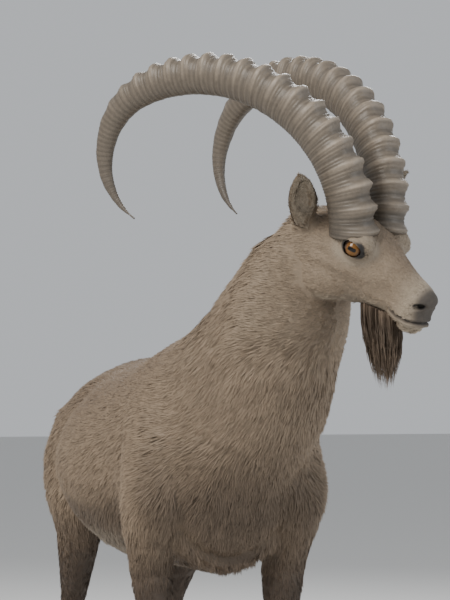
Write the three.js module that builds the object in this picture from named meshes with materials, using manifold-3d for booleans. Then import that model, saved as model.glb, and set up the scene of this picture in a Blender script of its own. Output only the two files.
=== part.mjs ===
// An adult male alpine ibex, life size, standing with its head turned to its left.
// Millimetres, +Z up. The animal faces +X and its left side is +Y.
import * as THREE from "three";
import { mergeVertices } from "three/addons/utils/BufferGeometryUtils.js";
import Module from "manifold-3d";

const wasm = await Module();
wasm.setup();

// Driving dimensions.
const withersHeight = 945;
const trunkRear = -815; // the point of the buttock, behind the withers
const chestDepth = 458;
const headTurn = 33; // degrees to the animal's left
const headDrop = 23; // degrees, nose down
const headRoll = 6; // degrees, left horn up
const headPlace = new THREE.Vector3(302, 92, 1085); // the back of the skull
const hornLength = 842; // along the middle of the horn
const hornHeadings = [77, 114, 146, 173, 199, 254, 328]; // degrees from straight ahead, root to tip
const hornDepth = 80; // front to back at the base
const hornWidth = 62;
const hornSpread = 8.4; // degrees each horn swings outwards
const hornLean = 8; // degrees each horn leans outwards
const hornKnobs = 20;
const earLength = 125;
const eyeRadius = 18;
const beardLength = 115;
const tailLength = 150;
const hoofHeight = 48; // at the middle of the coronet
const gap = 0.35; // kept between pieces that touch

const coats = {
  back: { color: 0x8a7a66, roughness: 0.92, metalness: 0 },
  face: { color: 0x8f7f6a, roughness: 0.9, metalness: 0 },
  dark: { color: 0x3d3128, roughness: 0.92, metalness: 0 },
  leg: { color: 0x5a4a3c, roughness: 0.92, metalness: 0 },
  horn: { color: 0x7c7263, roughness: 0.7, metalness: 0 },
  hoof: { color: 0x2b2724, roughness: 0.5, metalness: 0 },
  eye: { color: 0x8a5a1c, roughness: 0.08, metalness: 0 },
};

const radians = THREE.MathUtils.degToRad;
const vector = (x, y, z) => new THREE.Vector3(x, y, z);

// Lofts

// Turns the faces of a closed shape outwards, whichever way round it was built.
function facingOut(geometry) {
  const p = geometry.getAttribute("position");
  const index = geometry.index.array;
  const [a, b, c] = [vector(), vector(), vector()];
  let volume = 0;
  for (let i = 0; i < index.length; i += 3) {
    a.fromBufferAttribute(p, index[i]);
    b.fromBufferAttribute(p, index[i + 1]);
    c.fromBufferAttribute(p, index[i + 2]);
    volume += a.dot(b.cross(c));
  }
  if (volume < 0) {
    for (let i = 0; i < index.length; i += 3) {
      [index[i + 1], index[i + 2]] = [index[i + 2], index[i + 1]];
    }
  }
  return geometry;
}

// A closed surface through stations. Each has its place, its half width, and its reach to either
// side of that along "up"; top and bottom narrow the section there when over 1, square it under 1.
function loft(stations, { steps = 2, sides = 16, up = vector(0, 0, 1), across = null, grow = 0 } = {}) {
  const through = (pick) =>
    new THREE.CatmullRomCurve3(stations.map((s) => vector(...pick(s))), false, "catmullrom", 0.5);
  const place = through((s) => s.at);
  const size = through((s) => [s.half, s.up, s.down ?? s.up]);
  const form = through((s) => [s.top ?? 1, s.bottom ?? 1, 0]);
  const count = (stations.length - 1) * steps;
  const points = [];
  const push = (v) => points.push(v.x, v.y, v.z);
  for (let i = 0; i <= count; i++) {
    const t = i / count;
    const along = place.getTangent(t);
    const right = across ? across.clone() : up.clone().cross(along).normalize();
    const above = along.clone().cross(right).normalize();
    const [middle, reach, shape] = [place.getPoint(t), size.getPoint(t), form.getPoint(t)];
    if (i === 0) middle.addScaledVector(along, -grow);
    if (i === count) middle.addScaledVector(along, grow);
    for (let j = 0; j < sides; j++) {
      const angle = (2 * Math.PI * (j + 0.5)) / sides;
      const [c, s] = [Math.cos(angle), Math.sin(angle)];
      const wide = Math.sign(c) * Math.abs(c) ** (s > 0 ? shape.x : shape.y) * (reach.x + grow);
      const tall = s * ((s > 0 ? reach.y : reach.z) + grow);
      push(middle.clone().addScaledVector(right, wide).addScaledVector(above, tall));
    }
  }
  push(place.getPoint(0).addScaledVector(place.getTangent(0), -grow));
  push(place.getPoint(1).addScaledVector(place.getTangent(1), grow));
  const [first, last] = [sides * (count + 1), sides * (count + 1) + 1];
  const index = [];
  for (let j = 0; j < sides; j++) {
    const k = (j + 1) % sides;
    for (let i = 0; i < count; i++) {
      const [p, q] = [i * sides, (i + 1) * sides];
      index.push(p + j, p + k, q + k, p + j, q + k, q + j);
    }
    index.push(first, k, j, last, count * sides + j, count * sides + k);
  }
  const geometry = new THREE.BufferGeometry();
  geometry.setAttribute("position", new THREE.Float32BufferAttribute(points, 3));
  geometry.setIndex(index);
  return facingOut(geometry);
}

// An ellipsoid, turned by Euler angles in degrees before it is put in its place.
function ellipsoid(at, radii, { turn = [0, 0, 0], detail = 3, grow = 0 } = {}) {
  const ball = new THREE.IcosahedronGeometry(1, detail);
  ball.deleteAttribute("normal");
  ball.deleteAttribute("uv");
  const whole = mergeVertices(ball, 1e-4);
  whole.scale(...radii.map((r) => r + grow));
  whole.applyMatrix4(new THREE.Matrix4().makeRotationFromEuler(new THREE.Euler(...turn.map(radians))));
  return facingOut(whole.translate(...at));
}

function solid(geometry) {
  return new wasm.Manifold(
    new wasm.Mesh({
      numProp: 3,
      vertProperties: geometry.getAttribute("position").array,
      triVerts: new Uint32Array(geometry.index.array),
    }),
  );
}

const join = (geometries) => geometries.map(solid).reduce((a, b) => a.add(b));

const largest = (body) => body.decompose().reduce((a, b) => (b.volume() > a.volume() ? b : a));

// The part of a body on the side of a plane that its normal points to, half a gap clear of it.
function beyond(body, point, normal) {
  const n = normal.clone().normalize();
  return body.trimByPlane([n.x, n.y, n.z], n.dot(point) + gap / 2);
}

function mesh(name, body, material) {
  const { vertProperties, triVerts } = largest(largest(body).simplify(0.2)).getMesh();
  const geometry = new THREE.BufferGeometry();
  geometry.setAttribute("position", new THREE.BufferAttribute(new Float32Array(vertProperties), 3));
  geometry.setIndex(new THREE.BufferAttribute(new Uint32Array(triVerts), 1));
  const made = new THREE.Mesh(geometry, new THREE.MeshStandardMaterial(material));
  made.name = name;
  return made;
}

// Trunk

const keel = withersHeight - chestDepth; // the underside of the chest

function trunk(grow) {
  const ribs = [
    { at: [trunkRear, 0, 738], half: 92, up: 84, down: 104, bottom: 0.9 },
    { at: [trunkRear + 18, 0, 732], half: 126, up: 118, down: 132, top: 1.1, bottom: 0.9 },
    { at: [trunkRear + 100, 0, 720], half: 158, up: 158, down: 158, top: 1.3 },
    { at: [-590, 0, 708], half: 180, up: 186, down: 168, top: 1.5, bottom: 0.9 },
    { at: [-440, 0, 694], half: 210, up: withersHeight - 740, down: 176, top: 1.6, bottom: 0.85 },
    { at: [-280, 0, 688], half: 220, up: withersHeight - 728, down: 688 - keel, top: 1.6, bottom: 0.8 },
    { at: [-130, 0, 700], half: 200, up: withersHeight - 713, down: 700 - keel, top: 1.5 },
    { at: [0, 0, 712], half: 172, up: withersHeight - 712, down: 712 - keel, top: 1.3, bottom: 1.1 },
    { at: [95, 0, 720], half: 150, up: 182, down: 216, top: 1.1, bottom: 1.1 },
    { at: [160, 0, 705], half: 110, up: 112, down: 172 },
    { at: [196, 0, 690], half: 66, up: 58, down: 112 },
    { at: [208, 0, 682], half: 30, up: 26, down: 50 },
  ];
  return solid(loft(ribs, { steps: 2, sides: 24, grow }));
}

// Legs. Each joint is [forward, outward, height, half width, reach to the front, reach to the back].

const foreJoints = [
  [-15, 74, 860, 30, 55, 60],
  [20, 106, 800, 50, 78, 92],
  [52, 122, 730, 56, 92, 100],
  [56, 124, 645, 58, 88, 102],
  [22, 126, 570, 52, 70, 84],
  [8, 121, 500, 43, 52, 58],
  [12, 116, 425, 32, 36, 37],
  [18, 112, 355, 26, 28, 28],
  [24, 110, 302, 30, 32, 27],
  [20, 109, 252, 23.5, 24, 24],
  [18, 108, 185, 21, 21, 23],
  [18, 108, 118, 26, 25, 29],
  [30, 108, 80, 24, 24, 25],
  [42, 108, 46, 28, 29, 29],
  [48, 108, 20, 26, 27, 27],
];

const hindJoints = [
  [-620, 74, 800, 36, 60, 60],
  [-645, 102, 755, 60, 112, 116],
  [-645, 118, 680, 66, 130, 124],
  [-630, 124, 595, 60, 118, 108],
  [-642, 122, 520, 46, 84, 72],
  [-682, 119, 445, 35, 50, 48],
  [-728, 115, 378, 27, 30, 31],
  [-752, 112, 325, 30, 34, 36],
  [-750, 110, 265, 25, 27, 29],
  [-742, 108, 190, 22, 23, 25],
  [-735, 108, 120, 27, 26, 30],
  [-722, 108, 80, 25, 25, 26],
  [-708, 108, 46, 29, 30, 30],
  [-702, 108, 20, 27, 28, 28],
];

const limbs = [
  { name: "front_left", side: 1, stance: 34, joints: foreJoints, parting: 497 },
  { name: "front_right", side: -1, stance: -18, joints: foreJoints, parting: 497 },
  { name: "hind_left", side: 1, stance: -40, joints: hindJoints, parting: 545 },
  { name: "hind_right", side: -1, stance: 30, joints: hindJoints, parting: 545 },
];

function jointOf(limb, [x, y, z]) {
  return vector(x + limb.stance * (1 - z / limb.joints[0][2]), limb.side * y, z);
}

// The last joint but one is the coronet.
const coronetOf = (limb) => jointOf(limb, limb.joints.at(-2)).setZ(hoofHeight);
const coronetTilt = vector(-0.25, 0, 1);

function limbBody(limb) {
  const stations = limb.joints.map((joint) => ({
    at: jointOf(limb, joint).toArray(),
    half: joint[3],
    up: joint[4],
    down: joint[5],
  }));
  const foot = coronetOf(limb);
  const claws = [-1, 1].map((s) =>
    ellipsoid([foot.x - 46, foot.y + s * 15, 98], [10, 8, 15], { turn: [0, 25, 0], detail: 1 }),
  );
  const shaft = loft(stations, { steps: 1, sides: 14, up: vector(1, 0, 0) });
  return join([shaft, ...claws]).add(toe(limb, -1)).add(toe(limb, 1));
}

// One toe: pointed in front and straight along the cleft.
function toe(limb, s) {
  const foot = coronetOf(limb);
  const y = foot.y + s * 17.2;
  const rings = [
    { at: [foot.x + 20, y, -16], half: 15, up: 46, down: 37, top: 1.5, bottom: 0.6 },
    { at: [foot.x + 15, y, 8], half: 15, up: 42, down: 35, top: 1.4, bottom: 0.6 },
    { at: [foot.x + 10, y, 30], half: 14.6, up: 36, down: 33, top: 1.2, bottom: 0.65 },
    { at: [foot.x + 4, y, 52], half: 13.8, up: 30, down: 31, top: 1.1, bottom: 0.7 },
    { at: [foot.x - 2, y, 74], half: 12, up: 24, down: 25 },
  ];
  return solid(loft(rings, { steps: 1, sides: 12, up: vector(1, 0, 0) })).trimByPlane([0, 0, 1], 0);
}

// Head, in its own frame: +X to the nose, with the origin at the back of the skull.

const headPose = new THREE.Matrix4().compose(
  headPlace,
  new THREE.Quaternion().setFromEuler(new THREE.Euler(radians(headRoll), radians(headDrop), radians(headTurn), "ZYX")),
  vector(1, 1, 1),
);
const headBack = headPose.clone().invert();
const posed = (body) => body.transform(headPose.elements);
const inWorld = (x, y, z) => vector(x, y, z).applyMatrix4(headPose).toArray();

const eyeAt = (side) => [127, side * 56, 30];

function skullCase(grow) {
  const sections = [
    { at: [-45, 0, -20], half: 58, up: 60, down: 72 },
    { at: [0, 0, -8], half: 66, up: 64, down: 80 },
    { at: [45, 0, 0], half: 70, up: 68, down: 86 },
    { at: [90, 0, 2], half: 69, up: 72, down: 84 },
    { at: [125, 0, 0], half: 62, up: 65, down: 78, bottom: 1.1 },
    { at: [155, 0, -6], half: 50, up: 52, down: 66, bottom: 1.15 },
    { at: [190, 0, -14], half: 39, up: 42, down: 54, bottom: 1.1 },
    { at: [219, 0, -21], half: 32, up: 37, down: 46 },
    { at: [243, 0, -27], half: 30.5, up: 34, down: 40 },
    { at: [257, 0, -32], half: 25, up: 26, down: 30 },
    { at: [264, 0, -36], half: 13, up: 13, down: 14 },
  ];
  return loft(sections, { steps: 2, sides: 18, grow });
}

function skull(grow) {
  const pieces = [skullCase(grow)];
  for (const s of [-1, 1]) {
    const [x, y, z] = eyeAt(s);
    const lid = eyeRadius + 3.6;
    pieces.push(
      ellipsoid([x, y, z], [lid, lid, lid], { grow, detail: 2 }),
      ellipsoid([124, s * 46, 35], [37, 26, 28], { grow, detail: 2 }), // the brow
      ellipsoid([66, s * 36, -34], [66, 33, 48], { grow, detail: 2 }), // the cheek
      ellipsoid([14, s * 55, 33], [26, 19, 25], { grow, detail: 1 }), // the root of the ear
      ellipsoid([238, s * 16.5, -31], [24, 17, 23], { grow, detail: 1 }), // the side of the nose
    );
  }
  pieces.push(ellipsoid([234, 0, -67], [26, 21, 17], { grow, detail: 1 })); // the chin
  pieces.push(...[5.5, -5.5].map((rise) => lip(rise, grow)));
  return join(pieces);
}

// The mouth runs from its corners round the front of the muzzle, with a lip above and below.
function lip(rise, grow) {
  const path = [[202, 28, -45], [220, 26, -53], [240, 23, -56], [253, 17, -55], [261, 7, -53]];
  const left = path.map(([x, y, z]) => ({ at: [x, y, z + rise], half: 6.5, up: 6, down: 6 }));
  const right = left.map((s) => ({ ...s, at: [s.at[0], -s.at[1], s.at[2]] })).reverse();
  return loft([...left, ...right], { steps: 1, sides: 6, grow });
}

function mouthLine() {
  const path = [
    { at: [203, 0, -44], half: 60, up: 1 },
    { at: [224, 0, -53], half: 60, up: 1.8 },
    { at: [248, 0, -56], half: 60, up: 1.8 },
    { at: [286, 0, -50], half: 60, up: 1.8 },
  ];
  return solid(loft(path, { steps: 1, sides: 8 })).subtract(solid(skullCase(-6)));
}

function headBody() {
  let head = skull(0);
  for (const s of [-1, 1]) {
    const [x, y, z] = eyeAt(s);
    const cuts = [
      ellipsoid([x, y, z], [eyeRadius, eyeRadius, eyeRadius], { grow: gap, detail: 2 }),
      ellipsoid([x + 3, y + s * 15, z], [16, 17, 9.5], { turn: [0, 12, 0], detail: 2 }), // between the lids
      ellipsoid([256, s * 19, -26], [11, 9, 4.5], { turn: [0, 28, s * 22], detail: 1 }), // the nostril
    ];
    head = cuts.reduce((body, cut) => body.subtract(solid(cut)), head);
  }
  return head.subtract(mouthLine());
}

// Ears

function earFrame(side) {
  const along = vector(0.23, side * 0.66, 0.72).normalize();
  const open = vector(0.9, side * 0.35, -0.15);
  open.addScaledVector(along, -open.dot(along)).normalize();
  return new THREE.Matrix4().makeBasis(along, open.clone().cross(along), open).setPosition(14, side * 59, 40);
}

function ear(side) {
  const outer = [
    { at: [0, 0, 0], half: 19, up: 14, down: 15 },
    { at: [0.22 * earLength, 0, 0], half: 24, up: 13, down: 16 },
    { at: [0.5 * earLength, 0, 0], half: 25, up: 9, down: 14 },
    { at: [0.78 * earLength, 0, 1], half: 18, up: 6, down: 9 },
    { at: [0.95 * earLength, 0, 2], half: 8, up: 4, down: 5 },
    { at: [earLength, 0, 2], half: 2, up: 1.5, down: 1.5 },
  ];
  const cup = [
    { at: [0.24 * earLength, 0, 14], half: 9, up: 12, down: 8 },
    { at: [0.38 * earLength, 0, 14], half: 17, up: 14, down: 19 },
    { at: [0.58 * earLength, 0, 13], half: 18, up: 14, down: 18 },
    { at: [0.78 * earLength, 0, 12], half: 12, up: 12, down: 14 },
    { at: [0.9 * earLength, 0, 12], half: 4, up: 8, down: 9 },
  ];
  const frame = earFrame(side);
  const shell = solid(loft(outer, { steps: 2, sides: 12 }).applyMatrix4(frame));
  return shell.subtract(solid(loft(cup, { steps: 1, sides: 10 }).applyMatrix4(frame)));
}

// Horns

// The middle of a horn: it rises, sweeps back and curls under, in a plane that swings and leans outwards.
function hornLine(side, parts) {
  const level = new THREE.Matrix4().makeRotationY(-radians(headDrop));
  const back = vector(-Math.cos(radians(hornSpread)), side * Math.sin(radians(hornSpread)), 0);
  const rise = vector(0, side * Math.sin(radians(hornLean)), Math.cos(radians(hornLean)));
  back.applyMatrix4(level);
  rise.applyMatrix4(level);
  const at = vector(101, side * 39.5, 40);
  const points = [at.clone()];
  for (let i = 0; i < parts; i++) {
    const u = (i + 0.5) / parts;
    const k = Math.floor(u * (hornHeadings.length - 1));
    const part = u * (hornHeadings.length - 1) - k;
    const heading = radians(THREE.MathUtils.lerp(hornHeadings[k], hornHeadings[k + 1], part));
    at.y += (side * 0.06 * u * hornLength) / parts;
    at.addScaledVector(back, (-Math.cos(heading) * hornLength) / parts);
    at.addScaledVector(rise, (Math.sin(heading) * hornLength) / parts);
    points.push(at.clone());
  }
  return { points, across: rise.cross(back).normalize() };
}

// Knobs stand on the front edge, and fade out before the tip.
function horn(side) {
  const perKnob = 3;
  const rings = Math.round((hornKnobs * perKnob) / 0.8);
  const { points, across } = hornLine(side, rings);
  const stations = points.map((at, i) => {
    const u = i / rings;
    const taper = Math.max((1 - 0.25 * u) * (1 - u ** 4), 0.05);
    const fade = Math.max(0, Math.min(1, 5 * (0.8 - u)));
    const knob = [0, 1, 0.6][i % perKnob] * fade * (11 - 4 * u);
    return {
      at: at.toArray(),
      half: (hornWidth / 2) * taper + 0.25 * knob,
      up: (hornDepth / 2) * taper + knob - 3 * fade,
      down: (hornDepth / 2) * taper,
      top: 0.7,
      bottom: 1.15,
    };
  });
  return solid(loft(stations, { steps: 1, sides: 10, across }));
}

// Locks of long hair

// A flat lock from root to tip, its face to the side that "face" points to. Sag bends its middle that way.
function lock(root, tip, face, { width = 14, thickness = 6, sag = 4 } = {}) {
  const along = tip.clone().sub(root);
  const across = face.clone().cross(along).normalize();
  const stations = [0, 0.35, 0.7, 1].map((t, i) => ({
    at: root.clone().lerp(tip, t).addScaledVector(face, sag * Math.sin(Math.PI * t)).toArray(),
    half: (width / 2) * [0.8, 1, 0.72, 0.12][i],
    up: (thickness / 2) * [1, 0.9, 0.6, 0.25][i],
  }));
  return loft(stations, { steps: 1, sides: 5, across });
}

// The beard hangs straight down from the underside of the jaw, longest in its middle, in rings of locks.
function beard() {
  const down = vector(0, 0, -1).transformDirection(headBack);
  const core = [
    { at: [168, 0, -66], half: 15, up: 38, down: 36 },
    { at: [180, 0, -92], half: 13, up: 36, down: 28 },
    { at: [194, 0, -64 - 0.5 * beardLength], half: 7, up: 22, down: 16 },
  ];
  const rings = [
    { count: 9, reach: 1, length: 0.72, width: 22 },
    { count: 6, reach: 0.66, length: 0.9, width: 21 },
    { count: 3, reach: 0.34, length: 1.06, width: 18 },
  ];
  THREE.MathUtils.seededRandom(5);
  const locks = rings.flatMap(({ count, reach, length, width }) =>
    Array.from({ length: count }, (_, i) => {
      const angle = (2 * Math.PI * (i + 0.5 * reach)) / count;
      const out = vector(Math.cos(angle), 0.62 * Math.sin(angle), 0);
      const root = vector(170 + 37 * reach * Math.cos(angle), 14 * reach * Math.sin(angle), -70);
      const vary = 0.9 + 0.25 * THREE.MathUtils.seededRandom();
      const tip = root.clone().addScaledVector(down, beardLength * length * vary);
      tip.y *= 0.55;
      tip.x += 6 * Math.cos(angle) - 9 * reach * Math.min(0, Math.cos(angle));
      return lock(root, tip, out.normalize(), { width, sag: 3 + 2 * THREE.MathUtils.seededRandom() });
    }),
  );
  return join([loft(core, { steps: 2, sides: 12, up: vector(1, 0, 0) }), ...locks]);
}

// Neck

function neck() {
  const stations = [
    { at: [0, 0, 772], half: 140, up: 160, down: 150 },
    { at: [86, 18, 822], half: 150, up: 142, down: 192 },
    { at: [164, 44, 895], half: 138, up: 122, down: 166 },
    { at: [222, 58, 970], half: 116, up: 102, down: 134 },
    { at: [260, 74, 1034], half: 95, up: 84, down: 106 },
    { at: [292, 88, 1076], half: 69, up: 66, down: 80 },
  ];
  return solid(loft(stations, { steps: 2, sides: 24 }));
}

// Tail

function tail() {
  const rear = trunkRear;
  const core = [
    { at: [rear + 50, 0, 842], half: 24, up: 17, down: 17 },
    { at: [rear + 6, 0, 838], half: 25, up: 16, down: 16 },
    { at: [rear - 20, 0, 808], half: 23, up: 13, down: 13 },
    { at: [rear - 26, 0, 838 - 0.5 * tailLength], half: 16, up: 9, down: 9 },
  ];
  THREE.MathUtils.seededRandom(9);
  const locks = Array.from({ length: 10 }, (_, i) => {
    const row = Math.floor(i / 5);
    const spread = (i % 5) - 2;
    const root = vector(rear - 8 - 6 * row, 6.5 * spread, 822 - 20 * row);
    const vary = 0.9 + 0.2 * THREE.MathUtils.seededRandom();
    const length = (0.5 + 0.02 * row) * tailLength * vary * (1 - 0.07 * Math.abs(spread));
    const tip = vector(rear - 36 + 5 * row, 9.5 * spread * (1 - 0.18 * row), root.z - length);
    return lock(root, tip, vector(-1, 0.12 * spread, 0).normalize(), { width: 17, thickness: 8, sag: 7 });
  });
  return join([loft(core, { steps: 2, sides: 12, across: vector(0, 1, 0) }), ...locks]);
}

// Assembly

const animal = new THREE.Group();

const throatPlane = vector(0.81, -0.27, 0.5).normalize(); // in the head's frame, behind the ears and jaw
const throatTurn = throatPlane.clone().transformDirection(headPose);
const throatPoint = throatPlane.clone().multiplyScalar(-24).applyMatrix4(headPose);
const shoulderPlane = vector(0.75, 0.03, 0.66);
const shoulderPoint = vector(140, 4, 850);
const reverse = (v) => v.clone().negate();

const neckAndHead = neck().add(posed(headBody()));
const grownSkull = skull(gap);
const limbBodies = limbs.map(limbBody);
const limbUppers = limbBodies
  .map((body, i) => beyond(body, vector(0, 0, limbs[i].parting), vector(0, 0, 1)))
  .reduce((a, b) => a.add(b));
const trunkBody = trunk(0).add(neck()).add(limbUppers);
const trunkAndNeck = trunk(0).add(neckAndHead);

animal.add(
  mesh("torso", beyond(trunkBody, shoulderPoint, reverse(shoulderPlane)), coats.back),
  mesh("neck", beyond(beyond(trunkAndNeck, shoulderPoint, shoulderPlane), throatPoint, reverse(throatTurn)), coats.back),
  mesh("head", beyond(neckAndHead, throatPoint, throatTurn), coats.face),
  mesh("tail", tail().subtract(trunk(1).translate([-1, 0, 0])).subtract(limbUppers), coats.dark),
  mesh("beard", posed(beard().subtract(grownSkull)), coats.dark),
);

for (const [side, name] of [[1, "left"], [-1, "right"]]) {
  const [x, y, z] = eyeAt(side);
  const ball = solid(ellipsoid([x, y, z], [eyeRadius, eyeRadius, eyeRadius], { detail: 2 }));
  animal.add(
    mesh(`ear_${name}`, posed(ear(side).subtract(grownSkull)), coats.face),
    mesh(`horn_${name}`, posed(horn(side).subtract(grownSkull)), coats.horn),
    mesh(`eye_${name}`, posed(ball), coats.eye),
  );
}

limbs.forEach((limb, i) => {
  const foot = coronetOf(limb);
  const below = beyond(limbBodies[i], vector(0, 0, limb.parting), vector(0, 0, -1));
  const shank = beyond(below, foot, coronetTilt).subtract(trunk(gap));
  animal.add(mesh(`leg_${limb.name}`, shank, coats.leg));
  for (const [s, name] of [[limb.side, "outer"], [-limb.side, "inner"]]) {
    const hoof = beyond(toe(limb, s), foot, reverse(coronetTilt));
    animal.add(mesh(`hoof_${limb.name}_${name}`, hoof, coats.hoof));
  }
});

// The floor is z = 0, and the middle of the animal's outline stands over the origin.
const box = new THREE.Box3().setFromObject(animal);
const middle = box.getCenter(vector());
animal.position.set(-middle.x, -middle.y, -box.min.z);

export default animal;
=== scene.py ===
import math

import bpy
import numpy as np
from mathutils import Matrix, Vector, noise


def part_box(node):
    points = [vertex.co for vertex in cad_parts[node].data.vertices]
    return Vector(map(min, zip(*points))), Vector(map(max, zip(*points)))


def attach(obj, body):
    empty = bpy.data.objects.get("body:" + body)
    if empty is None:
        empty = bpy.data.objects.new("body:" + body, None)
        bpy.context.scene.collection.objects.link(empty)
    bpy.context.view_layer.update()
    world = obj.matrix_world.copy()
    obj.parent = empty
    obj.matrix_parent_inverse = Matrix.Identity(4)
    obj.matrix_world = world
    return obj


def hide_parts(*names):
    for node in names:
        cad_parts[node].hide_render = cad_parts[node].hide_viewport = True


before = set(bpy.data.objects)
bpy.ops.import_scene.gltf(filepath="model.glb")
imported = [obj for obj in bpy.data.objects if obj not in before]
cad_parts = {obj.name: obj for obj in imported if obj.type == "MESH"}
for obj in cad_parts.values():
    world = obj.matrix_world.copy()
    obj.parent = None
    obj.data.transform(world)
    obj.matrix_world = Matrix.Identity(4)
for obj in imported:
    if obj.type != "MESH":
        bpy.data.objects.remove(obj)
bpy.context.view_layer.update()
rng = np.random.default_rng(7)

# Lengths are in metres. The head has its own frame: +X to the nose, from the back of the skull.
headTurn, headDrop, headRoll = math.radians(33), math.radians(23), math.radians(6)
headPlace = Vector((0.4795, 0.0882, 1.085))
headSpin = Matrix.Rotation(headTurn, 4, "Z") @ Matrix.Rotation(headDrop, 4, "Y") @ Matrix.Rotation(headRoll, 4, "X")
headPose = Matrix.Translation(headPlace) @ headSpin
withers = np.array([0.1775, -0.0038, 0])  # the floor under the withers, midway between the sides
headAxes = np.array(headPose.to_3x3())
headOrigin = np.array(headPlace)


def toHead(points):
    return (points - headOrigin) @ headAxes


def fromHead(points):
    return points @ headAxes.T + headOrigin


def ramp(x, low, high):
    t = np.clip((x - low) / (high - low), 0, 1)
    return t * t * (3 - 2 * t)


def bell(x, width):
    return np.exp(-((x / width) ** 2))


def unit(v):
    return v / np.maximum(np.linalg.norm(v, axis=-1, keepdims=True), 1e-9)


def cloud(points, size, seed=0.0):
    offset = Vector((seed, seed * 1.7, -seed))
    return np.array([noise.noise(Vector(p) / size + offset) for p in points])


# Meshes

def meshObject(name, verts, faces, smooth=True):
    mesh = bpy.data.meshes.new(name)
    mesh.from_pydata(np.asarray(verts).tolist(), [], [list(map(int, f)) for f in faces])
    mesh.validate()
    mesh.update()
    made = bpy.data.objects.new(name, mesh)
    bpy.context.collection.objects.link(made)
    mesh.polygons.foreach_set("use_smooth", [smooth] * len(mesh.polygons))
    return made


def makeActive(obj):
    bpy.ops.object.select_all(action="DESELECT")
    obj.select_set(True)
    bpy.context.view_layer.objects.active = obj


def applied(obj, kind, **settings):
    makeActive(obj)
    modifier = obj.modifiers.new(kind.title(), kind)
    for key, value in settings.items():
        setattr(modifier, key, value)
    bpy.ops.object.modifier_apply(modifier=modifier.name)


def points(obj):
    flat = np.empty(len(obj.data.vertices) * 3)
    obj.data.vertices.foreach_get("co", flat)
    return flat.reshape(-1, 3)


def setPoints(obj, where):
    obj.data.vertices.foreach_set("co", np.ascontiguousarray(where).ravel())
    obj.data.update()


def normals(obj):
    flat = np.empty(len(obj.data.vertices) * 3)
    obj.data.vertex_normals.foreach_get("vector", flat)
    return flat.reshape(-1, 3)


def edgesOf(obj):
    flat = np.empty(len(obj.data.edges) * 2, int)
    obj.data.edges.foreach_get("vertices", flat)
    return flat.reshape(-1, 2)


def colour(obj, tints, name="tint"):
    layer = obj.data.color_attributes.new(name, "FLOAT_COLOR", "POINT")
    rgba = np.ones((len(obj.data.vertices), 4))
    rgba[:, :3] = tints
    layer.data.foreach_set("color", rgba.ravel())


def copyOf(node):
    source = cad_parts[node]
    copied = source.copy()
    copied.data = source.data.copy()
    bpy.context.collection.objects.link(copied)
    makeActive(copied)
    bpy.ops.object.mode_set(mode="EDIT")
    bpy.ops.mesh.select_all(action="SELECT")
    bpy.ops.mesh.remove_doubles(threshold=0.00001)
    bpy.ops.object.mode_set(mode="OBJECT")
    return copied


# Smoothing: each round pulls points in and then lets them out again, which keeps the volume at 0.505.
def relax(where, edges, weight, rounds, letOut=0.505):
    a, b = edges.T
    count = np.bincount(np.concatenate([a, b]), minlength=len(where))[:, None]
    w = np.asarray(weight)[:, None]
    for i in range(rounds * 2):
        pull = np.stack([np.bincount(a, where[b, k], len(where)) + np.bincount(b, where[a, k], len(where)) for k in range(3)], 1)
        where = where + (0.5 if i % 2 == 0 else -letOut) * w * (pull / count - where)
    return where


# Where things are on the animal

eyePlace = {1: np.array([0.127, 0.056, 0.030]), -1: np.array([0.127, -0.056, 0.030])}


def regions(p):
    h = toHead(p)
    head = ramp(h[:, 0], -0.07, 0.0) * ramp(p[:, 2], 0.86, 0.93) * (p[:, 0] > 0.3)
    ear = (np.abs(h[:, 1]) > 0.068) & (h[:, 0] < 0.075) & (h[:, 0] > -0.02) & (h[:, 2] > 0.028)
    leg = ramp(p[:, 2], 0.56, 0.44)
    shank = ramp(p[:, 2], 0.40, 0.28)
    along = p[:, 0] - withers[0]
    neck = ramp(along * 0.75 + (p[:, 2] - 0.85) * 0.66, 0.03, 0.16) * (1 - head)
    aside = p[:, 1] - withers[1]
    return {"h": h, "head": head, "ear": ear, "leg": leg, "shank": shank, "neck": neck, "along": along, "aside": aside}


coatTones = {
    "back": (0.175, 0.126, 0.085),
    "flank": (0.240, 0.180, 0.125),
    "belly": (0.50, 0.435, 0.345),
    "neck": (0.232, 0.176, 0.124),
    "dark": (0.060, 0.043, 0.031),
    "leg": (0.085, 0.060, 0.042),
    "face": (0.262, 0.202, 0.143),
    "muzzle": (0.335, 0.275, 0.205),
    "skin": (0.030, 0.025, 0.023),
}


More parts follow.
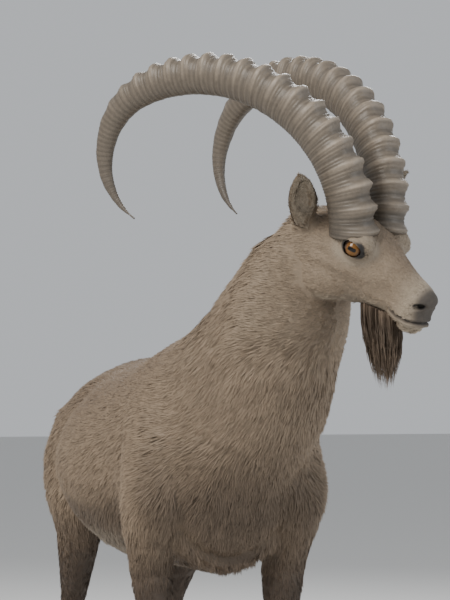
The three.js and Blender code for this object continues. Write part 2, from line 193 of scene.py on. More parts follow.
def coatColour(p, n):
    r = regions(p)
    tone = {k: np.array(v) for k, v in coatTones.items()}
    mix = lambda a, b, t: a + (b - a) * np.clip(t, 0, 1)[:, None]
    c = np.tile(tone["flank"], (len(p), 1))
    c = mix(c, tone["back"], ramp(n[:, 2], 0.2, 0.9) * 0.8)
    c = mix(c, tone["belly"], ramp(n[:, 2], -0.45, -0.9) * ramp(r["along"], -0.02, -0.12) * (1 - r["leg"]))
    c = mix(c, tone["neck"], r["neck"])
    ridge = bell(r["aside"], 0.022) * ramp(n[:, 2], 0.3, 0.8) * (1 - r["head"]) * (1 - r["neck"])
    c = mix(c, tone["dark"], 0.45 * ridge)
    chest = ramp(n[:, 0], 0.2, 0.8) * ramp(p[:, 2], 0.80, 0.60) * ramp(r["along"], 0.05, 0.15)
    c = mix(c, tone["dark"], 0.7 * chest)
    stripe = bell(n[:, 2] + 0.5, 0.22) * ramp(r["along"], 0.0, -0.08) * ramp(p[:, 2], 0.70, 0.62) * (1 - r["leg"])
    c = mix(c, tone["dark"], 0.6 * stripe)
    low = ramp(p[:, 2], 0.62, 0.42)
    c = mix(c, tone["leg"], low)
    c = mix(c, tone["dark"], low * ramp(n[:, 0], 0.0, 0.7) * 0.8)
    c = mix(c, tone["flank"] * 0.9, low * ramp(n[:, 0], -0.2, -0.8) * 0.7)
    rump = ramp(r["along"], -0.76, -0.82) * ramp(p[:, 2], 0.5, 0.6)
    c = mix(c, tone["belly"], rump * 0.55 * bell(r["aside"], 0.07))
    h, n0 = r["h"], n @ headAxes
    face = mix(np.tile(tone["face"], (len(p), 1)), tone["back"] * 0.8, bell(h[:, 1], 0.03) * ramp(n0[:, 2], 0.3, 0.8) * 0.45)
    face = mix(face, tone["muzzle"], ramp(h[:, 0], 0.2, 0.25))
    face = mix(face, tone["belly"] * 0.8, ramp(n0[:, 2], -0.4, -0.9) * 0.45)
    for place in eyePlace.values():
        d = np.linalg.norm((h - place) * [0.85, 1, 1.2], axis=1)
        face = mix(face, tone["belly"] * 0.8, bell(d - 0.03, 0.008) * 0.4)
        face = mix(face, tone["skin"], ramp(d, 0.0225, 0.0195))
    chin = ramp(h[:, 2], -0.052, -0.066) * bell(h[:, 0] - 0.168, 0.048) * bell(h[:, 1], 0.03)
    face = mix(face, tone["dark"] * 1.7, chin * 0.8)
    nose = ramp(h[:, 0], 0.246, 0.260) * ramp(h[:, 2], -0.068, -0.05)
    face = mix(face, tone["skin"] * 1.3, nose * 0.85)
    face = mix(face, tone["skin"] * 1.4, bell(mouthDistance(h), 0.0035) * 0.9)
    # painted shade: the inside of each nostril is painted darker than the bare nose skin, standing in for the shadow in
    # the hole
    nostrilShadow = np.hypot(h[:, 0] - 0.256, (h[:, 2] + 0.026) * 1.6)
    face = mix(face, tone["skin"] * 0.4, ramp(nostrilShadow, 0.0095, 0.0055) * ramp(np.abs(h[:, 1]), 0.008, 0.013))
    c = mix(c, face, r["head"])
    earIn = ((n0[:, 0] > 0.45) & r["ear"]).astype(float)
    c = mix(c, tone["belly"] * 0.75, earIn * 0.5)
    return c


mouthCurve = np.array([[0.202, -0.044], [0.221, -0.053], [0.243, -0.056], [0.256, -0.055], [0.280, -0.051]])


def mouthHeight(h):
    return np.interp(h[:, 0], mouthCurve[:, 0], mouthCurve[:, 1])


def mouthDistance(h):
    off = np.abs(h[:, 2] - mouthHeight(h))
    return np.hypot(off, np.maximum(0, 0.203 - h[:, 0]))


# The skin

flesh = ["torso", "neck", "head", "ear_left", "ear_right", "leg_front_left", "leg_front_right", "leg_hind_left", "leg_hind_right"]
parts = [copyOf(node) for node in flesh]
bpy.ops.object.select_all(action="DESELECT")
for part in parts:
    part.select_set(True)
bpy.context.view_layer.objects.active = parts[0]
bpy.ops.object.join()
skin = bpy.context.view_layer.objects.active
skin.name = skin.data.name = "skin"
skin.data.materials.clear()
applied(skin, "DISPLACE", strength=0.0007, mid_level=0)
applied(skin, "REMESH", mode="VOXEL", voxel_size=0.0036)
print("skin remeshed", len(skin.data.polygons))

p = points(skin)
r = regions(p)
fine = np.maximum(r["head"], r["ear"])
group = skin.vertex_groups.new(name="coarse")
coarse = 1 - ramp(fine, 0.2, 0.6)
for level in np.unique(np.round(coarse, 1)):
    group.add(np.nonzero(np.round(coarse, 1) == level)[0].tolist(), float(level), "REPLACE")
applied(skin, "DECIMATE", ratio=0.22, vertex_group="coarse", vertex_group_factor=8.0)
skin.vertex_groups.clear()
print("skin thinned", len(skin.data.polygons))

p = points(skin)
edges = edgesOf(skin)
r = regions(p)
p = relax(p, edges, np.where(r["ear"], 0.25, 1 - 0.3 * r["shank"]), 12)
broad = (1 - r["head"]) * (1 - ramp(p[:, 2], 0.62, 0.50)) * ~r["ear"]
p = relax(p, edges, broad, 60)
joint = (p - withers - [0.09, 0, 0.85]) @ [0.75, 0.03, 0.66]
brisket = ramp(r["along"], 0.09, 0.15) * ramp(p[:, 2], 0.80, 0.72) * bell(r["aside"], 0.07)
p = relax(p, edges, np.maximum(broad * bell(joint, 0.11), brisket), 50, letOut=0.1)
p = relax(p, edges, broad * ramp(r["along"], -0.66, -0.76), 130, letOut=0.15)
nape = bell(r["h"][:, 0] + 0.055, 0.045) * ramp(r["h"][:, 2], -0.03, 0.01) * ramp(p[:, 2], 0.95, 1.02) * ~r["ear"]
p = relax(p, edges, nape, 70, letOut=0.12)
setPoints(skin, p)

# Broad forms: [place, size, rise], on both sides of the trunk.
bodyForms = [
    ([-0.024, 0.15, 0.78], [0.10, 0.09, 0.17], 0.010),  # the shoulder blade
    ([0.061, 0.14, 0.64], [0.07, 0.08, 0.07], 0.012),  # the point of the shoulder
    ([-0.084, 0.17, 0.60], [0.05, 0.07, 0.10], -0.010),  # behind the elbow
    ([-0.284, 0.21, 0.66], [0.20, 0.10, 0.14], 0.010),  # the ribs
    ([-0.514, 0.19, 0.73], [0.06, 0.09, 0.07], -0.020),  # the hollow of the flank
    ([-0.574, 0.14, 0.86], [0.05, 0.05, 0.04], 0.012),  # the hip bone
    ([-0.644, 0.17, 0.66], [0.11, 0.08, 0.13], 0.012),  # the thigh
    ([-0.544, 0.14, 0.57], [0.05, 0.07, 0.06], 0.008),  # the stifle
]
n = normals(skin)
push = np.zeros(len(p))
for place, size, rise in bodyForms:
    for side in (1, -1):
        centre = withers + [place[0], place[1] * side, place[2]]
        push += rise * np.exp(-(((p - centre) / size) ** 2).sum(1))
folds = np.array([noise.noise(Vector((q[0] * 5, q[1] * 5, q[2] * 5))) for q in p])
push += 0.004 * folds * (1 - r["head"]) * (1 - r["leg"])
depth = 0.003 + 0.006 * (1 - r["head"]) * (1 - r["leg"]) + 0.004 * r["neck"]
depth = np.where(r["ear"], 0.0006, depth)
p = p + n * (push - depth)[:, None]
setPoints(skin, p)

# The head is made twice as fine, and then modelled.
makeActive(skin)
bpy.ops.object.mode_set(mode="EDIT")
bpy.ops.mesh.select_all(action="DESELECT")
bpy.ops.object.mode_set(mode="OBJECT")
r = regions(points(skin))
inHead = r["head"] > 0.8
skin.data.polygons.foreach_set("select", [bool(inHead[list(f.vertices)].all()) for f in skin.data.polygons])
bpy.ops.object.mode_set(mode="EDIT")
bpy.ops.mesh.subdivide(number_cuts=1, smoothness=0)
bpy.ops.mesh.quads_convert_to_tris()
bpy.ops.object.mode_set(mode="OBJECT")
p = points(skin)
r = regions(p)
p = relax(p, edgesOf(skin), r["head"] * ~r["ear"] * 0.9, 10)
print("skin refined", len(skin.data.polygons))

headForms = [
    ([0.085, 0.056, -0.010], [0.050, 0.020, 0.010], 0.004),  # the cheek bone
    ([0.150, 0.036, 0.006], [0.022, 0.020, 0.014], -0.005),  # the hollow in front of the eye
    ([0.185, 0.030, -0.022], [0.035, 0.016, 0.014], -0.004),  # the side of the muzzle
    ([0.060, 0.050, -0.060], [0.030, 0.026, 0.020], 0.004),  # the jaw muscle
    ([0.115, 0.045, -0.045], [0.022, 0.026, 0.020], -0.004),
    ([0.127, 0.048, 0.058], [0.026, 0.016, 0.008], 0.003),  # the brow ridge
    ([0.250, 0.021, -0.015], [0.014, 0.012, 0.008], 0.0035),  # the wing of the nostril
    ([0.246, 0.019, -0.043], [0.018, 0.014, 0.008], 0.003),  # the upper lip
    ([0.050, 0.020, 0.066], [0.030, 0.026, 0.020], 0.003),
]
h = toHead(p)
n = normals(skin) @ headAxes
push = np.zeros(len(p))
for place, size, rise in headForms:
    for side in (1, -1):
        push += rise * np.exp(-(((h - np.array(place) * [1, side, 1]) / size) ** 2).sum(1))
gapTo = mouthDistance(h)
front = ramp(h[:, 0], 0.198, 0.210)
push += front * (0.0016 * bell(gapTo - 0.005, 0.003) - 0.0042 * bell(gapTo, 0.0017))
for side in (1, -1):
    q = (h - [0.2570, side * 0.0185, -0.026]) @ np.array(Matrix.Rotation(math.radians(30), 3, "Y")).T
    q[:, 2] += 14 * q[:, 0] ** 2
    hole = np.exp(-((q[:, 0] / 0.0092) ** 2 + (q[:, 2] / 0.0042) ** 2 + (q[:, 1] / 0.012) ** 2) ** 2)
    rim = np.exp(-((np.hypot(q[:, 0] / 1.9, q[:, 2]) - 0.0062) / 0.002) ** 2 - (q[:, 1] / 0.012) ** 2)
    push += -0.0085 * hole + 0.0011 * rim
push += 0.0007 * np.sin(h[:, 0] * 900 + 2 * np.sin(h[:, 1] * 160)) * ramp(h[:, 0], 0.255, 0.263) * 0.4
push *= r["head"]
h = h + n * push[:, None]


# The lids lie on a ball round the eye, parted along the gaze. Skin inside the opening goes behind the eye.
def gazeFrame(side):
    out = unit(np.array([0.36, side * 0.92, 0.04]))
    level = unit(np.array([0.94, -side * 0.34, -0.16]))
    level = unit(level - out * (level @ out))
    return np.stack([level, np.cross(out, level) * side, out], 1)


eyeRadius = 0.0178
for side in (1, -1):
    axes = gazeFrame(side)
    q = (h - eyePlace[side]) @ axes
    far = np.linalg.norm(q, axis=1)
    a, b = q[:, 0] / np.maximum(far, 1e-6) * 0.0205, q[:, 1] / np.maximum(far, 1e-6) * 0.0205
    upper = 0.0058 * np.maximum(0, 1 - np.abs((a + 0.0005) / 0.0146) ** 2.0)
    lower = 0.0056 * np.maximum(0, 1 - np.abs((a - 0.0005) / 0.0146) ** 2.2)
    edge = np.where(b > -0.0008, (b + 0.0008) - upper, -(b + 0.0008) - lower)
    near = (q[:, 2] > 0.004) & (far < 0.032)
    lid = 0.0203 + 0.0013 * bell(edge - 0.0022, 0.0018) - 0.0008 * bell(edge - 0.0065, 0.0016)
    wanted = np.where(edge < 0, 0.0150, lid)
    blend = ramp(far, 0.0300, 0.0225) * ramp(q[:, 2], 0.004, 0.009)
    blend = np.where(edge < 0.001, ramp(q[:, 2], 0.003, 0.006), blend)
    moved = q * (far + (wanted - far) * blend)[:, None] / np.maximum(far, 1e-6)[:, None]
    q = np.where(near[:, None], moved, q)
    h = q @ axes.T + eyePlace[side]
p = fromHead(h)
setPoints(skin, p)
n = normals(skin)
# painted shade: the skin under the coat takes 0.8 of the coat's colour, standing in for the shadow the tufts cast on it
colour(skin, coatColour(p, n) * 0.8)
skin.data.polygons.foreach_set("use_smooth", [True] * len(skin.data.polygons))
makeActive(skin)
bpy.ops.object.mode_set(mode="EDIT")
bpy.ops.mesh.select_all(action="SELECT")
bpy.ops.uv.smart_project(angle_limit=1.15, island_margin=0.002)
bpy.ops.object.mode_set(mode="OBJECT")
skin.data.uv_layers[0].name = "OFBake"
print("skin modelled", len(skin.data.polygons))


# Materials

def nodeMaterial(name, roughness=0.6, **sockets):
    material = bpy.data.materials.new(name)
    material.use_nodes = True
    shader = material.node_tree.nodes["Principled BSDF"]
    shader.inputs["Roughness"].default_value = roughness
    for key, value in sockets.items():
        shader.inputs[key.replace("_", " ")].default_value = value
    return material, shader


def addNode(material, kind, **inputs):
    node = material.node_tree.nodes.new(kind)
    for key, value in inputs.items():
        node.inputs[key.replace("_", " ")].default_value = value
    return node


def wire(material, source, target):
    material.node_tree.links.new(source, target)


# The tint attribute, made a little lighter and darker by a fine noise, and a bump from the same noise.
def tintedMaterial(name, roughness, grain, bumpStrength, stretch=(1, 1, 1), **sockets):
    material, shader = nodeMaterial(name, roughness, **sockets)
    tint = addNode(material, "ShaderNodeAttribute")
    tint.attribute_name = "tint"
    place = addNode(material, "ShaderNodeTexCoord")
    turn = addNode(material, "ShaderNodeMapping", Scale=stretch)
    wire(material, place.outputs["Object"], turn.inputs["Vector"])
    grit = addNode(material, "ShaderNodeTexNoise", Scale=grain, Detail=4.0, Roughness=0.6)
    wire(material, turn.outputs["Vector"], grit.inputs["Vector"])
    shade = addNode(material, "ShaderNodeMapRange", To_Min=0.7, To_Max=1.3)
    wire(material, grit.outputs["Fac"], shade.inputs["Value"])
    scaled = addNode(material, "ShaderNodeVectorMath")
    scaled.operation = "SCALE"
    wire(material, tint.outputs["Color"], scaled.inputs[0])
    wire(material, shade.outputs["Result"], scaled.inputs["Scale"])
    wire(material, scaled.outputs["Vector"], shader.inputs["Base Color"])
    if bumpStrength:
        bump = addNode(material, "ShaderNodeBump", Strength=bumpStrength, Distance=0.002)
        wire(material, grit.outputs["Fac"], bump.inputs["Height"])
        wire(material, bump.outputs["Normal"], shader.inputs["Normal"])
    return material


skinMaterial = tintedMaterial("short fur", 0.8, 900.0, 0.5)
furMaterial = tintedMaterial("fur", 0.62, 60.0, 0.0, Specular_IOR_Level=0.3)
hornMaterial = tintedMaterial("horn", 0.48, 160.0, 0.35)
hoofMaterial = tintedMaterial("hoof", 0.45, 240.0, 0.3)
eyeMaterial, eyeShader = nodeMaterial("eye", 0.06, Specular_IOR_Level=0.35)
iris = addNode(eyeMaterial, "ShaderNodeAttribute")
iris.attribute_name = "tint"
wire(eyeMaterial, iris.outputs["Color"], eyeShader.inputs["Base Color"])
skin.data.materials.append(skinMaterial)
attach(skin, "root")
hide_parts(*flesh)


# Fur

# The way the coat lies: back along the trunk, down the neck and legs, and back from the nose.
def lie(p, n):
    r = regions(p)
    side = np.sign(r["aside"])
    flow = np.tile([-1.0, 0, -0.28], (len(p), 1))
    flow[:, 2] -= 0.5 * ramp(r["along"], -0.35, -0.8) + 0.4 * ramp(p[:, 2], 0.8, 0.6)
    neckFlow = np.array([-0.62, -0.22, -0.74])
    flow += (neckFlow - flow) * r["neck"][:, None]
    down = np.stack([np.full(len(p), -0.12), 0 * side, np.full(len(p), -1.0)], 1)
    flow += (down - flow) * np.maximum(ramp(p[:, 2], 0.66, 0.5), 0)[:, None]
    h = r["h"]
    back = np.stack([-np.ones(len(p)), 0.25 * np.sign(h[:, 1]), np.where(h[:, 2] > 0.02, 0.1, -0.35)], 1)
    earFlow = np.stack([np.full(len(p), 0.2), 0.66 * np.sign(h[:, 1]), np.full(len(p), 0.72)], 1)
    back = np.where(r["ear"][:, None], earFlow, back)
    flow += (back @ headAxes.T - flow) * np.maximum(r["head"], r["ear"])[:, None]
    swirl = np.array([noise.noise_vector(Vector(q) * 9) for q in p])
    flow = unit(flow) + 0.32 * swirl * (1 - 0.6 * r["head"])[:, None]
    flow -= n * (flow * n).sum(1)[:, None]
    return unit(flow)


def coatLength(p):
    r = regions(p)
    h = r["h"]
    length = 0.030 + 0.008 * r["neck"] - 0.014 * ramp(p[:, 2], 0.62, 0.45) - 0.006 * r["shank"]
    face = 0.0065 + 0.011 * ramp(h[:, 0], 0.10, 0.0) + 0.003 * ramp(h[:, 2], -0.03, -0.08)
    length += (face - length) * r["head"]
    length = np.where(r["ear"], 0.009, length)
    return length * (1 - 0.35 * ramp(p[:, 2], 0.12, 0.05))


triangles = np.array([t.vertices[:] for t in (skin.data.calc_loop_triangles(), skin.data.loop_triangles)[1]])
loops = np.array([t.loops[:] for t in skin.data.loop_triangles])
uvFlat = np.empty(len(skin.data.loops) * 2)
skin.data.uv_layers["OFBake"].data.foreach_get("uv", uvFlat)
skinUv = uvFlat.reshape(-1, 2)
corner = p[triangles]
area = np.linalg.norm(np.cross(corner[:, 1] - corner[:, 0], corner[:, 2] - corner[:, 0]), axis=1) / 2
centres = corner.mean(1)


# Tufts rooted at random over the skin, as many to the area as the coat's length asks for.
def scatter(count, share):
    chance = area * share
    picked = rng.choice(len(area), count, p=chance / chance.sum())
    u, v = rng.random((2, count))
    flip = u + v > 1
    u, v = np.where(flip, 1 - u, u), np.where(flip, 1 - v, v)
    w = np.stack([1 - u - v, u, v], 1)[:, :, None]
    root = (corner[picked] * w).sum(1)
    normal = unit((n[triangles[picked]] * w).sum(1))
    return root, normal, (skinUv[loops[picked]] * w).sum(1)


# Each tuft is a few tapered blades from one root, curving back down on to the coat.
def tufts(name, root, normal, flow, uv, length, width, tilt, tint, blades=4):
    count = len(root)
    shape = (count, blades)
    across = np.cross(normal, flow)
    fan = (np.linspace(-1, 1, blades)[None, :] + rng.normal(0, 0.25, shape)) * 0.20
    aim = unit(flow[:, None] + across[:, None] * fan[:, :, None])
    reach = length[:, None] * rng.uniform(0.7, 1.1, shape)
    lift = tilt[:, None] * rng.uniform(0.6, 1.4, shape)
    start = root[:, None] + across[:, None] * (fan * width[:, None] * 2.2)[:, :, None] - normal[:, None] * 0.0008
    side = np.cross(np.broadcast_to(normal[:, None], aim.shape), aim)
    rolled = unit(side + np.broadcast_to(normal[:, None], aim.shape) * rng.normal(0, 0.35, shape)[:, :, None])
    verts, tone = [], []
    for t, thick in ((0, 0.7), (0.45, 1.0), (1.0, 0.0)):
        rise = reach * lift * (t - 0.35 * t * t)
        middle = start + aim * (reach * t)[:, :, None] + normal[:, None] * rise[:, :, None]
        half = rolled * (width[:, None] * thick / 2)[:, :, None]
        verts += [middle - half, middle + half] if thick else [middle]
        tone += [0.80 + 0.27 * t] * (2 if thick else 1)
    verts = np.stack(verts, 2).reshape(-1, 3)
    base = (np.arange(count * blades) * 5)[:, None, None]
    faces = (base + np.array([[0, 1, 3], [0, 3, 2], [2, 3, 4]])).reshape(-1, 3)
    made = bpy.data.meshes.new(name)
    made.vertices.add(len(verts))
    made.vertices.foreach_set("co", verts.ravel())
    made.loops.add(faces.size)
    made.loops.foreach_set("vertex_index", faces.ravel())
    made.polygons.add(len(faces))
    made.polygons.foreach_set("loop_start", np.arange(0, faces.size, 3))
    made.update(calc_edges=True)
    tuft = bpy.data.objects.new(name, made)
    bpy.context.collection.objects.link(tuft)
    vary = rng.uniform(0.9, 1.1, (count, 1, 1)) * rng.uniform(0.92, 1.08, (count, blades, 1))
    rgb = tint[:, None, None, :] * vary[..., None] * np.array(tone)[None, None, :, None]
    colour(tuft, rgb.reshape(-1, 3))
    patch = np.array([[0, 0], [1, 0], [0, 0.5], [1, 0.5], [0.5, 1]]) * 0.003 - 0.0015
    uvPoint = (uv[:, None, None, :] + patch[None, None]) + np.zeros((1, blades, 1, 1))
    layer = made.uv_layers.new(name="OFBake")
    layer.data.foreach_set("uv", uvPoint.reshape(-1, 2)[faces.ravel()].ravel())
    made.polygons.foreach_set("use_smooth", [True] * len(faces))
    made.materials.append(furMaterial)
    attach(tuft, "root")
    return tuft


skinRegions = regions(centres)
lengths = coatLength(centres)
centreHead = skinRegions["h"]
bare = np.zeros(len(centres))
for place in eyePlace.values():
    bare = np.maximum(bare, ramp(np.linalg.norm(centreHead - place, axis=1), 0.0255, 0.0235))
bare = np.maximum(bare, ramp(centreHead[:, 0], 0.244, 0.256) * skinRegions["head"] * ramp(centreHead[:, 2], -0.072, -0.06))
bare = np.maximum(bare, ramp(mouthDistance(centreHead), 0.006, 0.004) * skinRegions["head"])
bare = np.maximum(bare, ramp(centres[:, 2], 0.062, 0.054))
density = (1 - bare) / np.maximum(lengths, 0.006) ** 1.15

furAreas = {
    "head": (skinRegions["head"] > 0.5) & ~skinRegions["ear"],
    "ears": skinRegions["ear"],
    "neck": (skinRegions["neck"] > 0.5) & (skinRegions["head"] <= 0.5) & ~skinRegions["ear"],
    "legs": centres[:, 2] < 0.5,
}
rest = ~np.any(list(furAreas.values()), axis=0)
furAreas["shoulders"] = rest & (centres[:, 0] > 0.05)
furAreas["flanks"] = rest & (centres[:, 0] <= 0.05) & (centres[:, 0] > -0.3)
furAreas["rump"] = rest & (centres[:, 0] <= -0.3)
counts = {"head": 15000, "ears": 3200, "neck": 14000, "legs": 16000, "shoulders": 14000, "flanks": 15500, "rump": 15500}
for name, chosen in furAreas.items():
    root, normal, uv = scatter(counts[name], density * chosen)
    flow = lie(root, normal)
    length = coatLength(root)
    width = 0.0006 + 0.055 * length
    tilt = np.full(len(root), 0.26) + 0.05 * (length < 0.012)
    tufts("coat_" + name, root, normal, flow, uv, length, width, tilt, coatColour(root, normal))
print("coat made")


# Hair that hangs: long strands from a root, bending towards a point below.
def strands(name, root, tip, bow, uv, width, tint, rootShade=0.7, steps=6):
    count = len(root)
    along = tip - root
    across = unit(np.cross(along, rng.normal(size=(count, 3))))
    verts = []
    for i in range(steps + 1):
        t = i / steps
        thick = width * (0.75 + 0.5 * t - 1.1 * t * t) if i < steps else 0 * width
        wave = 0.0022 * math.sin(9 * t) * t
        middle = root + along * t + bow * (4 * t * (1 - t)) + across * wave * rng.choice([-1, 1], count)[:, None]
        verts += [middle - across * thick[:, None] / 2, middle + across * thick[:, None] / 2] if i < steps else [middle]
    stride = 2 * steps + 1
    verts = np.stack(verts, 1).reshape(-1, 3)
    pattern = []
    for i in range(steps - 1):
        k = 2 * i
        pattern += [[k, k + 1, k + 3], [k, k + 3, k + 2]]
    pattern.append([2 * steps - 2, 2 * steps - 1, 2 * steps])
    faces = ((np.arange(count) * stride)[:, None, None] + np.array(pattern)).reshape(-1, 3)
    hair = meshObject(name, verts, faces)
    shade = np.interp(np.linspace(0, 1, steps + 1), [0, 0.35, 1], [rootShade, 0.85, 1.25])
    shade = np.repeat(np.repeat(shade, 2)[:stride][None], count, 0)
    rgb = tint[:, None, :] * (shade * rng.uniform(0.75, 1.3, (count, 1)))[..., None]
    colour(hair, rgb.reshape(-1, 3))
    local = np.stack([np.tile([0, 1], steps + 1)[:stride], np.linspace(0, 1, stride)], 1) * 0.003 - 0.0015
    uvPoint = (uv[:, None] + local[None]).reshape(-1, 2)
    layer = hair.data.uv_layers.new(name="OFBake")
    layer.data.foreach_set("uv", uvPoint[faces.ravel()].ravel())
    hair.data.materials.append(furMaterial)
    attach(hair, "root")
    return hair


beardLength = 0.115
count = 2600
angle = rng.uniform(0, 2 * np.pi, count)
reach = np.sqrt(rng.random(count))
root = np.stack([0.168 + 0.042 * reach * np.cos(angle), 0.019 * reach * np.sin(angle), np.full(count, -0.063)], 1)
down = np.array([0, 0, -1.0]) @ headAxes
length = beardLength * (1.12 - 0.50 * reach**2) * rng.uniform(0.72, 1.10, count)
clump = np.round(angle * 3) / 3
tip = root + down * length[:, None]
tip[:, 0] += 0.006 * np.cos(clump) - 0.012 * np.cos(angle) * reach
tip[:, 1] = tip[:, 1] * 0.5 + 0.003 * np.sin(clump * 5)
bow = np.stack([0.004 * np.cos(angle), 0.003 * np.sin(angle), 0 * angle], 1)
tint = np.tile([0.085, 0.062, 0.044], (count, 1))
uv = np.full((count, 2), 0.5) + rng.uniform(-0.02, 0.02, (count, 2))
beard = strands("beard", fromHead(root), fromHead(tip), bow @ headAxes.T, uv, np.full(count, 0.0020), tint, rootShade=1.7)
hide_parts("beard")

tailLow, tailHigh = [np.array(c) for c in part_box("tail")]
skinPoints = points(skin)
croup = (np.abs(skinPoints[:, 1] - withers[1]) < 0.02) & (np.abs(skinPoints[:, 2] - 0.82) < 0.02)
rear = skinPoints[croup, 0].min()
count = 3400
down = rng.random(count) ** 0.8
across = rng.uniform(-1, 1, count)
sideways = withers[1] + 0.025 * across * (1 - 0.45 * down)
root = np.stack([rear + 0.030 - 0.044 * down**0.5, sideways, 0.843 - 0.070 * down], 1)
drop = (0.050 + 0.030 * rng.random(count)) * (1 + 0.1 * down)
tip = root + np.stack([0 * down, 0.004 * across, -drop], 1)
tip[:, 0] = rear - 0.026 + 0.014 * down + 0.008 * rng.random(count)
tip[:, 2] = np.maximum(tip[:, 2], tailLow[2] + 0.001)
bow = np.stack([-0.008 + 0 * across, 0.004 * across, 0 * across], 1)
tint = np.tile([0.062, 0.045, 0.033], (count, 1))
tail = strands("tail", root, tip, bow, np.resize(uv, (count, 2)), np.full(count, 0.0024), tint)
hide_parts("tail")
print("hair made")


# Horns

hornLength, hornSpread, hornLean = 0.842, math.radians(8.4), math.radians(8)
hornHeadings = np.radians([77, 114, 146, 173, 199, 254, 328])
hornDepth, hornWidth = 0.080, 0.062


def hornShape(side, rings=560, sides=36):
    level = np.array(Matrix.Rotation(-headDrop, 3, "Y"))
    back = level @ [-math.cos(hornSpread), side * math.sin(hornSpread), 0]
    rise = level @ [0, side * math.sin(hornLean), math.cos(hornLean)]
    u = (np.arange(rings) + 0.5) / rings
    heading = np.interp(u, np.linspace(0, 1, len(hornHeadings)), hornHeadings)
    heading = np.convolve(np.pad(heading, 20, mode="edge"), np.ones(41) / 41, "valid")
    step = hornLength / rings
    moves = -np.cos(heading)[:, None] * back + np.sin(heading)[:, None] * rise
    moves[:, 1] += side * 0.06 * u
    centre = np.array([0.101, side * 0.0395, 0.040]) + np.vstack([np.zeros(3), np.cumsum(moves * step, 0)])
    along = unit(np.gradient(centre, axis=0))
    across = unit(np.cross(rise, back))
    above = unit(np.cross(along, across))
    t = np.linspace(0, 1, rings + 1)
    taper = np.maximum((1 - 0.25 * t) * (1 - t**4), 0.045)
    fade = np.clip(5 * (0.8 - t), 0, 1)
    phase = (t / 0.04 - 1 / 3) % 1
    knob = np.exp(-((np.minimum(phase, 1 - phase) / 0.24) ** 2)) * fade * (0.0115 - 0.004 * t)
    angle = 2 * np.pi * np.arange(sides) / sides
    c, s = np.cos(angle), np.sin(angle)
    sharp = np.where(s > 0, 0.7, 1.15)
    growth = 0.0005 * np.sin(t * 900 + 1.5 * np.sin(t * 37)) * fade + 0.0003 * np.sin(t * 2300)
    proud = np.clip(s + 0.15, 0, 1) ** 0.7
    half = (hornWidth / 2) * taper[:, None] + 0.25 * knob[:, None] * proud + growth[:, None]
    up = (hornDepth / 2) * taper[:, None] + (knob - 0.003 * fade)[:, None] * proud + growth[:, None]
    low = (hornDepth / 2) * taper[:, None] + growth[:, None] + 0 * proud
    wide = np.sign(c) * np.abs(c) ** sharp * half
    tall = s * np.where(s > 0, up, low)
    verts = centre[:, None] + across * wide[..., None] + above[:, None] * tall[..., None]
    worn = knob[:, None] / 0.0115 * proud
    seams = 0.85 + 0.15 * np.sin(t * 520 + 3 * np.sin(t * 23))[:, None]
    base = np.array([0.19, 0.155, 0.118])
    tone = base * (0.62 + 0.75 * worn[..., None] + 0.0 * wide[..., None]) * seams[..., None]
    tone = tone * (0.75 + 0.35 * ramp(t, 0, 0.12))[:, None, None]
    tone = tone + (np.array([0.085, 0.07, 0.056]) - tone) * (ramp(t, 0.78, 0.98) * 0.7)[:, None, None]
    verts = np.vstack([verts.reshape(-1, 3), centre[:1], centre[-1:]])
    tone = np.vstack([tone.reshape(-1, 3), tone[0, :1], tone[-1, :1]])
    faces = []
    for i in range(rings):
        for j in range(sides):
            k = (j + 1) % sides
            faces.append([i * sides + j, i * sides + k, (i + 1) * sides + k, (i + 1) * sides + j])
    last = rings * sides
    for j in range(sides):
        k = (j + 1) % sides
        faces += [[len(verts) - 2, k, j], [len(verts) - 1, last + j, last + k]]
    return verts, faces, tone


def facingOut(obj):
    makeActive(obj)
    bpy.ops.object.mode_set(mode="EDIT")
    bpy.ops.mesh.select_all(action="SELECT")
    bpy.ops.mesh.normals_make_consistent(inside=False)
    bpy.ops.object.mode_set(mode="OBJECT")


for side, name in ((1, "left"), (-1, "right")):
    verts, faces, tone = hornShape(side)
    horn = meshObject("horn_" + name + "_surface", fromHead(verts), faces)
    facingOut(horn)
    colour(horn, tone)
    where = points(horn)
    facing = normals(horn)
    chips = np.array([noise.fractal(Vector(q) * 55, 1.0, 2.0, 4) for q in where])
    setPoints(horn, where + facing * (0.0007 * chips)[:, None])
    horn.data.materials.append(hornMaterial)
    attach(horn, "root")
    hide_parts("horn_" + name)


# Eyes

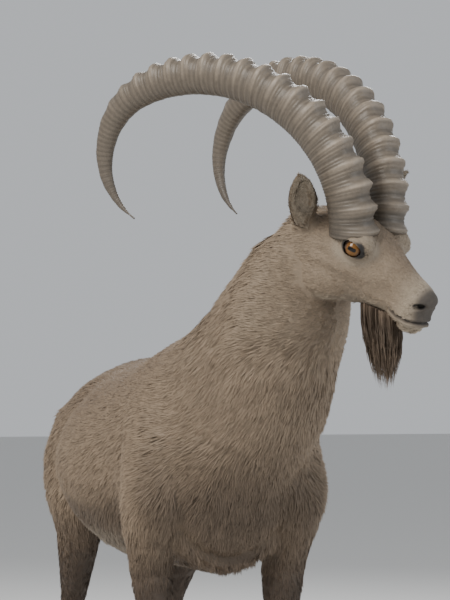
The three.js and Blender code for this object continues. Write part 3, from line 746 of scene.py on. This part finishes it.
def eyeBall(side, rings=56, sides=96):
    polar = np.linspace(0, np.pi, rings + 1)[1:-1]
    turn = 2 * np.pi * np.arange(sides) / sides
    z = np.cos(polar)[:, None] + 0 * turn
    x = np.sin(polar)[:, None] * np.cos(turn)
    y = np.sin(polar)[:, None] * np.sin(turn)
    local = np.stack([x, y, z], -1).reshape(-1, 3)
    local = np.vstack([local, [[0, 0, 1], [0, 0, -1]]])
    radius = eyeRadius + 0.0009 * bell(np.hypot(local[:, 0], local[:, 1]), 0.5) * (local[:, 2] > 0)
    a, b = local[:, 0] * eyeRadius, local[:, 1] * eyeRadius
    spoke = np.arctan2(b, a)
    far = np.hypot(a, b)
    amber = np.array([0.20, 0.088, 0.018])
    streak = 0.8 + 0.25 * np.sin(spoke * 41) * np.sin(spoke * 17 + 1) + 0.15 * np.sin(spoke * 73)
    tone = amber * streak[:, None]
    tone = tone + (np.array([0.06, 0.028, 0.011]) - tone) * ramp(far, 0.0085, 0.0128)[:, None]
    tone = tone + (np.array([0.018, 0.012, 0.010]) - tone) * ramp(far, 0.0122, 0.0138)[:, None]
    slot = np.maximum(np.abs(a) - 0.0056, 0) ** 2 / 0.0014**2 + b**2 / 0.0031**2
    tone = tone + (np.array([0.004, 0.004, 0.005]) - tone) * ramp(slot, 1.25, 0.75)[:, None]
    tone = np.where(local[:, 2:] < 0, 0.02, tone)
    verts = (local * radius[:, None]) @ gazeFrame(side).T + eyePlace[side]
    faces = []
    for i in range(rings - 2):
        for j in range(sides):
            k = (j + 1) % sides
            faces.append([i * sides + j, (i + 1) * sides + j, (i + 1) * sides + k, i * sides + k])
    top, bottom, last = len(local) - 2, len(local) - 1, (rings - 2) * sides
    for j in range(sides):
        k = (j + 1) % sides
        faces += [[top, j, k], [bottom, last + k, last + j]]
    return verts, faces, tone


for side, name in ((1, "left"), (-1, "right")):
    verts, faces, tone = eyeBall(side)
    ball = meshObject("eyeball_" + name, fromHead(verts), faces)
    facingOut(ball)
    colour(ball, tone)
    ball.data.materials.append(eyeMaterial)
    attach(ball, "root")
    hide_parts("eye_" + name)

# Hooves

for foot in ("front_left", "front_right", "hind_left", "hind_right"):
    for toe in ("outer", "inner"):
        node = "hoof_" + foot + "_" + toe
        hoof = copyOf(node)
        hoof.name = hoof.data.name = node + "_shell"
        hoof.data.materials.clear()
        applied(hoof, "BEVEL", width=0.0012, segments=2, angle_limit=0.9)
        applied(hoof, "REMESH", mode="VOXEL", voxel_size=0.0014)
        where = points(hoof)
        where = relax(where, edgesOf(hoof), np.ones(len(where)), 4)
        facing = normals(hoof)
        rings = np.sin(where[:, 2] * 1500 + 2 * np.sin(where[:, 0] * 90)) * ramp(where[:, 2], 0.004, 0.012)
        where += facing * (0.00025 * rings)[:, None]
        where[:, 2] = np.maximum(where[:, 2], 0)
        setPoints(hoof, where)
        wear = ramp(where[:, 2], 0.012, 0.0)[:, None]
        colour(hoof, np.array([0.030, 0.026, 0.023]) * (1 + 0.25 * rings[:, None]) + wear * np.array([0.06, 0.052, 0.044]))
        hoof.data.polygons.foreach_set("use_smooth", [True] * len(hoof.data.polygons))
        hoof.data.materials.append(hoofMaterial)
        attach(hoof, "root")
        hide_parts(node)
print("horns, eyes and hooves made")

# The stage

bpy.ops.mesh.primitive_plane_add(size=60)
floor = bpy.context.object
floor.name = "floor"
floorMaterial, floorShader = nodeMaterial("floor", 0.85)
floorShader.inputs["Base Color"].default_value = (0.62, 0.615, 0.60, 1)
floor.data.materials.append(floorMaterial)

world = bpy.data.worlds.new("studio")
bpy.context.scene.world = world
world.use_nodes = True
world.node_tree.nodes["Background"].inputs["Color"].default_value = (0.86, 0.89, 0.93, 1)
world.node_tree.nodes["Background"].inputs["Strength"].default_value = 0.62

lamps = [
    {"name": "key", "place": (2.2, -3.2, 3.6), "size": 2.2, "power": 230, "tone": (1.0, 0.96, 0.9)},
    {"name": "fill", "place": (3.2, 2.8, 2.0), "size": 3.0, "power": 70, "tone": (0.92, 0.96, 1.0)},
    {"name": "rim", "place": (-2.6, 1.6, 3.2), "size": 1.6, "power": 130, "tone": (1.0, 1.0, 1.0)},
]
for entry in lamps:
    light = bpy.data.lights.new(entry["name"], "AREA")
    light.size, light.energy, light.color = entry["size"], entry["power"], entry["tone"]
    lamp = bpy.data.objects.new(entry["name"], light)
    lamp.location = entry["place"]
    lamp.rotation_euler = (Vector((0, 0, 0.8)) - Vector(entry["place"])).to_track_quat("-Z", "Y").to_euler()
    bpy.context.collection.objects.link(lamp)

camera = bpy.data.objects.new("camera", bpy.data.cameras.new("camera"))
camera.data.sensor_width = 36
camera.data.lens = 120
camera.location = (3.7109, -1.0183, 0.8273)
camera.rotation_euler = Vector((-0.95901, 0.27995, 0.04395)).to_track_quat("-Z", "Y").to_euler()
bpy.context.collection.objects.link(camera)
bpy.context.scene.camera = camera
